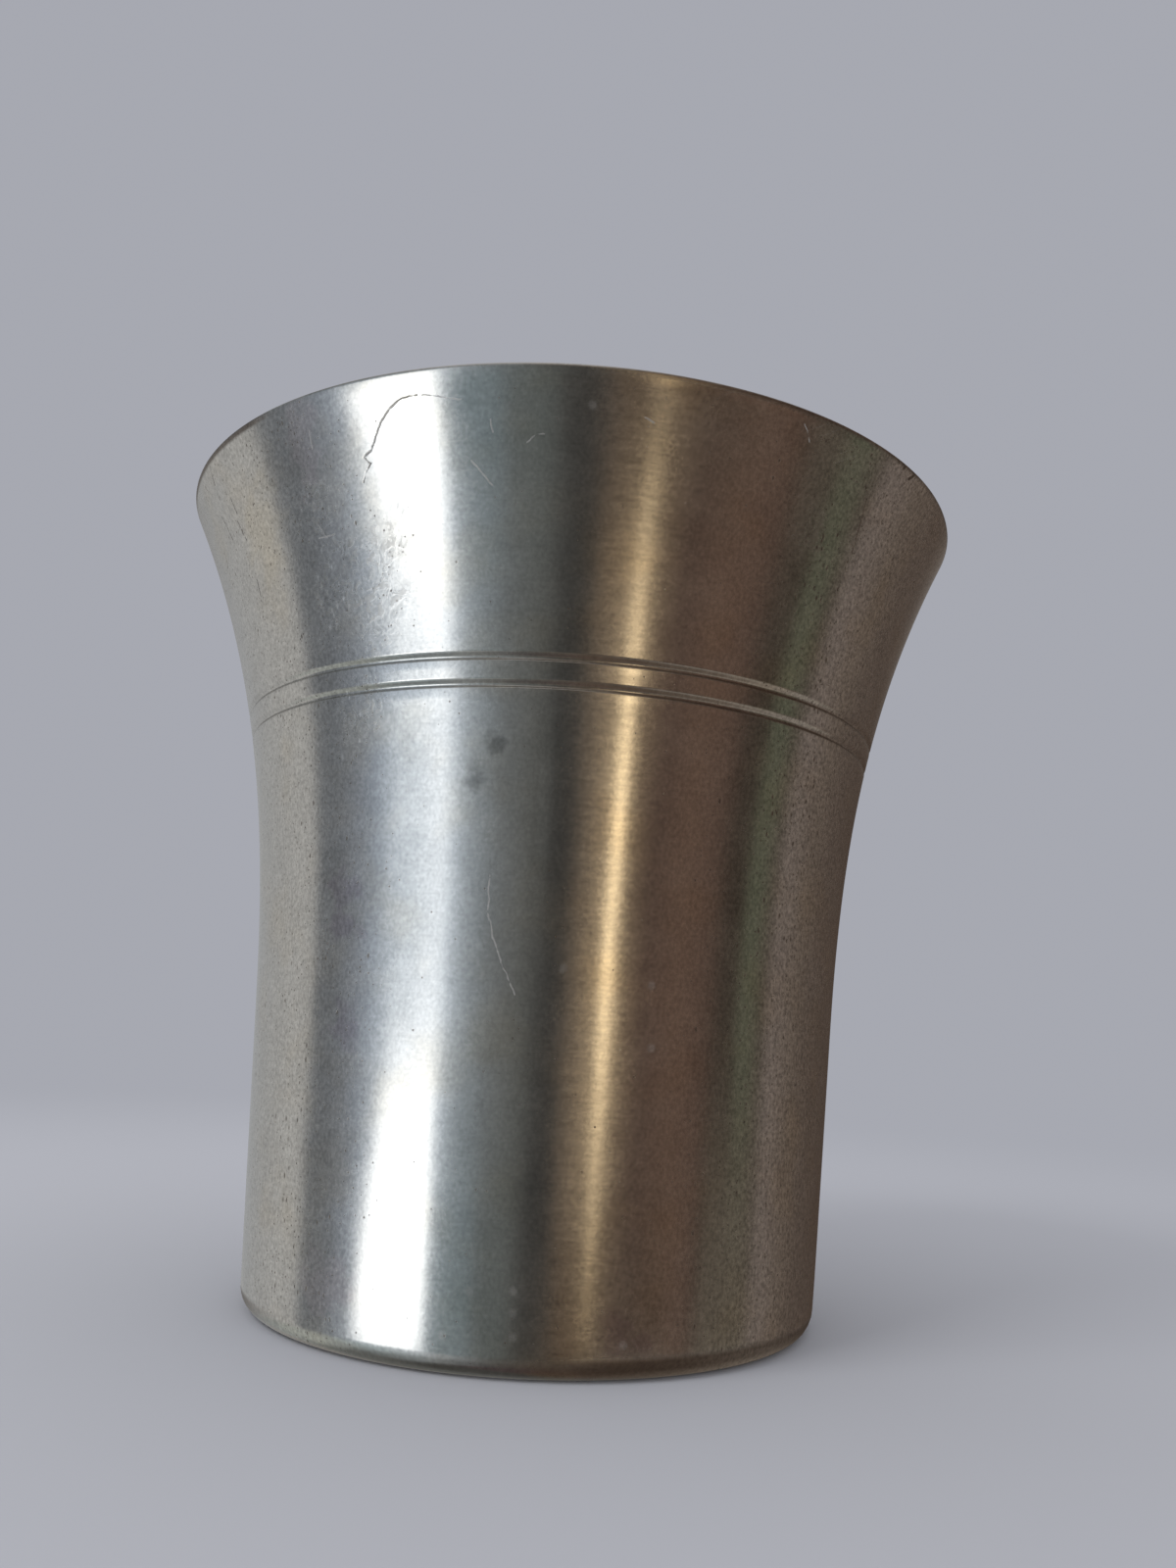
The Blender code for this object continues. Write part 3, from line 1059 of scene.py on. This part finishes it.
def polish_and_painted_shade(graph, skin):
    """Old polish in each groove, a darker band at the rim's edge, and painted shade under the
    rim's left lip and round the foot, all less about one bearing.
    """
    off_hand = graph.math("ABSOLUTE", graph.math("SUBTRACT", skin.turn, SPARED_BEARING))
    spared = graph.span(off_hand, *SPARED_REACH)
    grime_and_shade = graph.times(graph.span(skin.level, *RIM_DARK_BAND), RIM_DARK_BAND_SHARE)
    for index in range(GROOVE_COUNT):
        middle = (TOP_GROOVE_HEIGHT - GROOVE_PITCH * index - GROOVE_GRIME_DROP) / MM
        away = graph.math("ABSOLUTE", graph.math("SUBTRACT", skin.level, middle))
        grime_and_shade = graph.both(grime_and_shade, graph.span(away, *GROOVE_GRIME))
    left = graph.math("MULTIPLY_ADD", spared, SPARED_GAIN, SPARED_LEAST)
    grime_and_shade = graph.times(graph.times(grime_and_shade, left), graph.span(skin.drawn, *GRIME_BREAKS))
    # Painted shade: a dark line just under the rim on the left side
    lip = graph.times(graph.span(skin.turn, *LIP_START), graph.span(skin.turn, *LIP_END))
    lip = graph.times(lip, graph.span(skin.level, *LIP_PAINTED_SHADE))
    grime_and_shade = graph.both(grime_and_shade, graph.times(lip, LIP_PAINTED_SHADE_SHARE))
    # Painted shade: a dark band round the foot's bend
    heel = graph.times(graph.span(skin.level, *HEEL_TOP), graph.span(skin.level, *HEEL_BOTTOM))
    heel = graph.times(heel, graph.span(skin.turn, *HEEL_SIDE))
    return graph.both(grime_and_shade, graph.times(heel, spared))


def pits_and_nicks(graph, skin):
    """Small pits, large pits and upright nicks, which crowd on the flanks and in the patches."""
    crowd = graph.math("MULTIPLY_ADD", skin.flank, 0.85, 0.05)
    crowd = graph.times(crowd, graph.span(skin.blotch, *CROWDING))
    crowd = graph.both(crowd, graph.times(skin.patches, 0.7))
    small = graph.pits(skin.place, *SMALL_PITS, crowd)
    large = graph.pits(skin.place, *LARGE_PITS, graph.times(crowd, 0.24))
    scored = graph.math("MULTIPLY_ADD", skin.right, 0.25, skin.flank)
    scored = graph.times(scored, graph.span(skin.blotch, *SCORING))
    scored = graph.both(graph.times(skin.pitted, 0.9), scored)
    return small, large, graph.pits(skin.squeezed(NICK_SQUEEZE), *UPRIGHT_NICKS, scored)


def dark_scratches(graph, skin):
    """The branching crack and the dark scratches, broken up by the grain, and the rim's nicks."""
    crack = graph.times(skin.scratch(skin.shaken, CRACK, CRACK_WIDTH), 0.85)
    for marks in DARK_SCRATCHES:
        crack = graph.both(crack, skin.scratch(skin.shaken, marks, DARK_WIDTH))
    crack = graph.times(crack, graph.span(skin.grain, *CRACK_BREAKS))
    for marks in RIM_NICKS:
        crack = graph.both(crack, skin.scratch(skin.flat, marks, NICK_WIDTH))
    return crack


def pale_marks(graph, skin):
    """Hair marks, pale scratches and pale dots."""
    pale = graph.times(rubbed(graph, skin, *HAIRS), graph.span(skin.blotch, *HAIR_CLOUDS))
    for marks in PALE_SCRATCHES:
        scratch = skin.scratch(skin.shaken, marks, PALE_WIDTH)
        pale = graph.both(pale, graph.times(scratch, PALE_SCRATCH_SHARE))
    for mark in PALE_DOTS:
        dot = skin.spot(skin.shaken, mark, DOT_SIZE)
        pale = graph.both(pale, graph.times(dot, PALE_DOT_SHARE))
    return pale


def ruled_band(graph, skin):
    """Lines left by the lathe where the lamp's band shows them up."""
    off_band = graph.math("ABSOLUTE", graph.math("SUBTRACT", skin.turn, RULED_BEARING))
    ruled = graph.math("SUBTRACT", skin.streaks(*RULED_STREAKS), 0.5)
    return graph.times(ruled, graph.span(off_band, *RULED_REACH))


def wall_tone(graph, skin, cloud, ruled, lumps):
    """How brightly the wall sends light back from place to place, stains included."""
    grain = skin.grain
    tone = varied(graph, (skin.fine, 0.15), (skin.drawn, 0.08), (grain, 0.48), (cloud, 0.16),
                  (skin.blotch, 0.32))
    tone = graph.math("MULTIPLY_ADD", ruled, 0.42, tone)
    by_lamp = graph.span(skin.turn, *COARSE_SIDE)
    coarse = weighed(graph, (skin.right, 0.45), (skin.flank, 0.65), (by_lamp, 0.3))
    tone = graph.math("MULTIPLY_ADD", graph.math("SUBTRACT", grain, 0.5), coarse, tone)
    share = graph.times(graph.times(skin.patches, graph.span(skin.turn, *FLECKED_SIDE)), 0.5)
    flecks = graph.pits(skin.squeezed(NICK_SQUEEZE), *PALE_FLECKS, share)
    tone = graph.math("MULTIPLY_ADD", flecks, 0.45, tone)
    tone = graph.math("MULTIPLY_ADD", lumps, 0.8, tone)
    soft = graph.shaken(skin.flat, *SOFT_SHAKE)
    for mark, size, depth in STAINS:
        tone = graph.math("MULTIPLY_ADD", skin.spot(soft, mark, size), -depth, tone)
    return tone


def wall_colour(graph, skin):
    """Pewter that turns to tarnish in clouds, with its tinted patches."""
    tarnish = graph.span(graph.noise(skin.place, TARNISH_SIZE, 3.0), *TARNISHING)
    colour = graph.mix(tarnish, PEWTER, TARNISHED)
    for mark, size, tint in TINTS:
        share = graph.times(skin.spot(skin.wide, mark, size), TINT_SHARE)
        colour = graph.mix(share, colour, tint)
    return colour


def wall_pewter():
    """Satin pewter of the wall: turned streaks, mottling, pits, scratches, stains and grime."""
    material, graph = new_material("satin_pewter")
    skin = WallSkin(graph)
    small, large, nicks = pits_and_nicks(graph, skin)
    crack = dark_scratches(graph, skin)
    curls = graph.times(graph.span(skin.mottle, *CURLING), skin.patches)
    # Groove grime, a darker band at the rim's edge, and painted shade under the rim's left lip and
    # round the foot
    dark = polish_and_painted_shade(graph, skin)
    for mark, darkness in ((small, SMALL_PIT_DARK), (large, LARGE_PIT_DARK), (curls, CURL_DARK),
                           (nicks, NICK_DARK), (crack, CRACK_DARK)):
        dark = graph.both(dark, graph.times(mark, darkness))

    cloud = graph.noise(skin.place, CLOUD_SIZE)
    ruled = ruled_band(graph, skin)
    lumps = graph.times(graph.math("SUBTRACT", skin.mottle, 0.5), skin.patches)
    tone = wall_tone(graph, skin, cloud, ruled, lumps)
    ripple = graph.noise(skin.place, RIPPLE_SIZE, 1.0)
    wave = graph.noise(skin.squeezed(WAVE_SQUEEZE), WAVE_SIZE, 1.0)
    swell = graph.noise(skin.place, SWELL_SIZE, 1.0)
    height = weighed(graph, (ruled, 0.0028), (skin.fine, 0.0006), (skin.grain, 0.0012),
                     (cloud, 0.003), (ripple, 0.0030), (wave, 0.006), (swell, 0.018),
                     (small, -0.002), (large, -0.004), (nicks, -0.004), (crack, -0.02),
                     (lumps, 0.020))
    roughness = weighed(graph, (skin.blotch, 0.12), (skin.grain, 0.05), (skin.fine, 0.02),
                        (skin.patches, 0.05))
    roughness = graph.add(roughness, 0.10)
    surface(graph, wall_colour(graph, skin), tone, dark, pale_marks(graph, skin), height,
            roughness, 0.5)
    return material


def inside_pewter():
    """Duller pewter inside the cup, with the streaks that a spoon and a cloth leave."""
    material, graph = new_material("inside_pewter")
    skin = Skin(graph)
    fine = skin.streaks(*SPOON_STREAKS)
    drawn = skin.streaks(*CLOTH_STREAKS)
    blotch = graph.noise(skin.place, *DULL_BLOTCHES)
    pits = graph.pits(skin.place, *INSIDE_PITS, graph.span(blotch, 0.4, 0.65, 0.05, 0.6))
    tone = varied(graph, (fine, 0.35), (drawn, 0.35), (blotch, 0.3))
    height = weighed(graph, (fine, 0.0015), (drawn, 0.003), (pits, -0.02))
    roughness = graph.math("MULTIPLY_ADD", blotch, 0.16, 0.22)
    surface(graph, PLAIN_PEWTER, tone, graph.times(pits, 0.6), 0.0, height, roughness, 0.4)
    return material


def base_pewter():
    """Plain pewter of the base disc: rings left by the lathe, stains and pits."""
    material, graph = new_material("plain_pewter")
    skin = Skin(graph)
    outward = graph.vector(graph.times(skin.reach, 1.0 / RING_WIDTH), 0.0, 0.0)
    rings = graph.noise(outward, 1.0, 3.0, 0.6)
    blotch = graph.noise(skin.place, *DULL_BLOTCHES)
    pits = graph.pits(skin.place, *BASE_PITS, graph.span(blotch, 0.4, 0.65, 0.1, 0.7))
    tone = varied(graph, (rings, 0.4), (blotch, 0.4))
    pale = graph.times(graph.span(blotch, 0.55, 0.7), 0.15)
    height = weighed(graph, (rings, 0.006), (pits, -0.02))
    roughness = graph.math("MULTIPLY_ADD", blotch, 0.2, 0.24)
    surface(graph, PLAIN_PEWTER, tone, graph.times(pits, 0.6), pale, height, roughness, 0.5)
    return material


def soft_solder():
    """Soft solder, wiped by hand: lumpy, dull and a little oxidised."""
    material, graph = new_material("soft_solder")
    skin = Skin(graph)
    lumps = graph.noise(skin.place, *SOLDER_LUMPS)
    blotch = graph.noise(skin.place, *SOLDER_BLOTCHES)
    tone = varied(graph, (lumps, 0.4), (blotch, 0.5))
    pale = graph.times(graph.span(blotch, 0.5, 0.7), 0.3)
    roughness = graph.math("MULTIPLY_ADD", lumps, 0.2, 0.3)
    height = weighed(graph, (lumps, 0.05))
    surface(graph, SOLDER, tone, 0.0, pale, height, roughness, 0.0)
    return material


def floor():
    """Pale floor that takes the shadow and runs into the backdrop further out."""
    mesh = bpy.data.meshes.new("floor")
    corners = [(-1.0, -1.0), (1.0, -1.0), (1.0, 1.0), (-1.0, 1.0)]
    corners = [(x * FLOOR_REACH, y * FLOOR_REACH, 0.0) for x, y in corners]
    mesh.from_pydata(corners, [], [(0, 1, 2, 3)])
    made = bpy.data.objects.new("floor", mesh)
    bpy.context.scene.collection.objects.link(made)
    made.visible_glossy = False
    material, graph = new_material("pale_floor")
    place = graph.node("ShaderNodeTexCoord").outputs["Object"]
    far = graph.span(graph.vectors("LENGTH", place), *FLOOR_FADE)
    matt = graph.node("ShaderNodeBsdfDiffuse")
    graph.feed(matt.inputs[0], FLOOR_COLOUR)
    glow = graph.node("ShaderNodeEmission")
    graph.feed(glow.inputs[0], BACKDROP)
    both = graph.node("ShaderNodeMixShader")
    graph.feed(both.inputs[0], far)
    graph.feed(both.inputs[1], matt.outputs[0])
    graph.feed(both.inputs[2], glow.outputs[0])
    out = graph.node("ShaderNodeOutputMaterial")
    graph.feed(out.inputs[0], both.outputs[0])
    mesh.materials.append(material)


def soft_lamp():
    """Soft lamp at the upper left, in front, which only throws the floor's shadow."""
    data = bpy.data.lights.new("soft_lamp", "AREA")
    data.energy = LAMP_POWER
    data.size = LAMP_SIZE
    lamp = bpy.data.objects.new("soft_lamp", data)
    bpy.context.scene.collection.objects.link(lamp)
    lamp.location = LAMP_PLACE
    lamp.rotation_euler = (-lamp.location).to_track_quat("-Z", "Y").to_euler()
    lamp.visible_glossy = False


def camera():
    """Camera at the photograph's viewpoint."""
    ahead = Vector((0.0, math.cos(CAMERA_PITCH), math.sin(CAMERA_PITCH)))
    level = Vector((1.0, 0.0, 0.0))
    upright = level.cross(ahead)
    right = level * math.cos(CAMERA_ROLL) + upright * math.sin(CAMERA_ROLL)
    up = upright * math.cos(CAMERA_ROLL) - level * math.sin(CAMERA_ROLL)
    data = bpy.data.cameras.new("camera")
    data.sensor_width = SENSOR
    data.lens = CAMERA_LENS
    data.clip_start = 0.01
    data.clip_end = 20.0
    made = bpy.data.objects.new("camera", data)
    bpy.context.scene.collection.objects.link(made)
    turn = Matrix((right, up, -ahead)).transposed()
    made.matrix_world = Matrix.Translation(CAMERA_PLACE) @ turn.to_4x4()
    bpy.context.scene.camera = made


def beaker():
    """The three pieces."""
    bearings = np.arange(TURN_STEPS) * (360.0 / TURN_STEPS)
    wall = turned("wall", wall_section(), True, bearings, worn)
    piece("wall", wall, "body_wall", "wall_pewter", wall_pewter(), inside_pewter())
    shade_inside(wall)
    base = turned("base", base_section(), False, bearings)
    piece("base", base, "base_disc", "base_pewter", base_pewter())
    solder = turned("solder", solder_section(), True, bearings)
    piece("solder", solder, "solder_fillet", "solder", soft_solder())


def shade_inside(mesh):
    """Give the second material to the faces that look inwards or up, under the rim."""
    for face in mesh.polygons:
        middle = face.center
        outward = face.normal.x * middle.x + face.normal.y * middle.y
        if outward < 0.0 and middle.z < RIM_LEVEL:
            face.material_index = 1


bpy.context.scene.view_settings.view_transform = "Standard"
camera()
studio()
floor()
soft_lamp()
beaker()
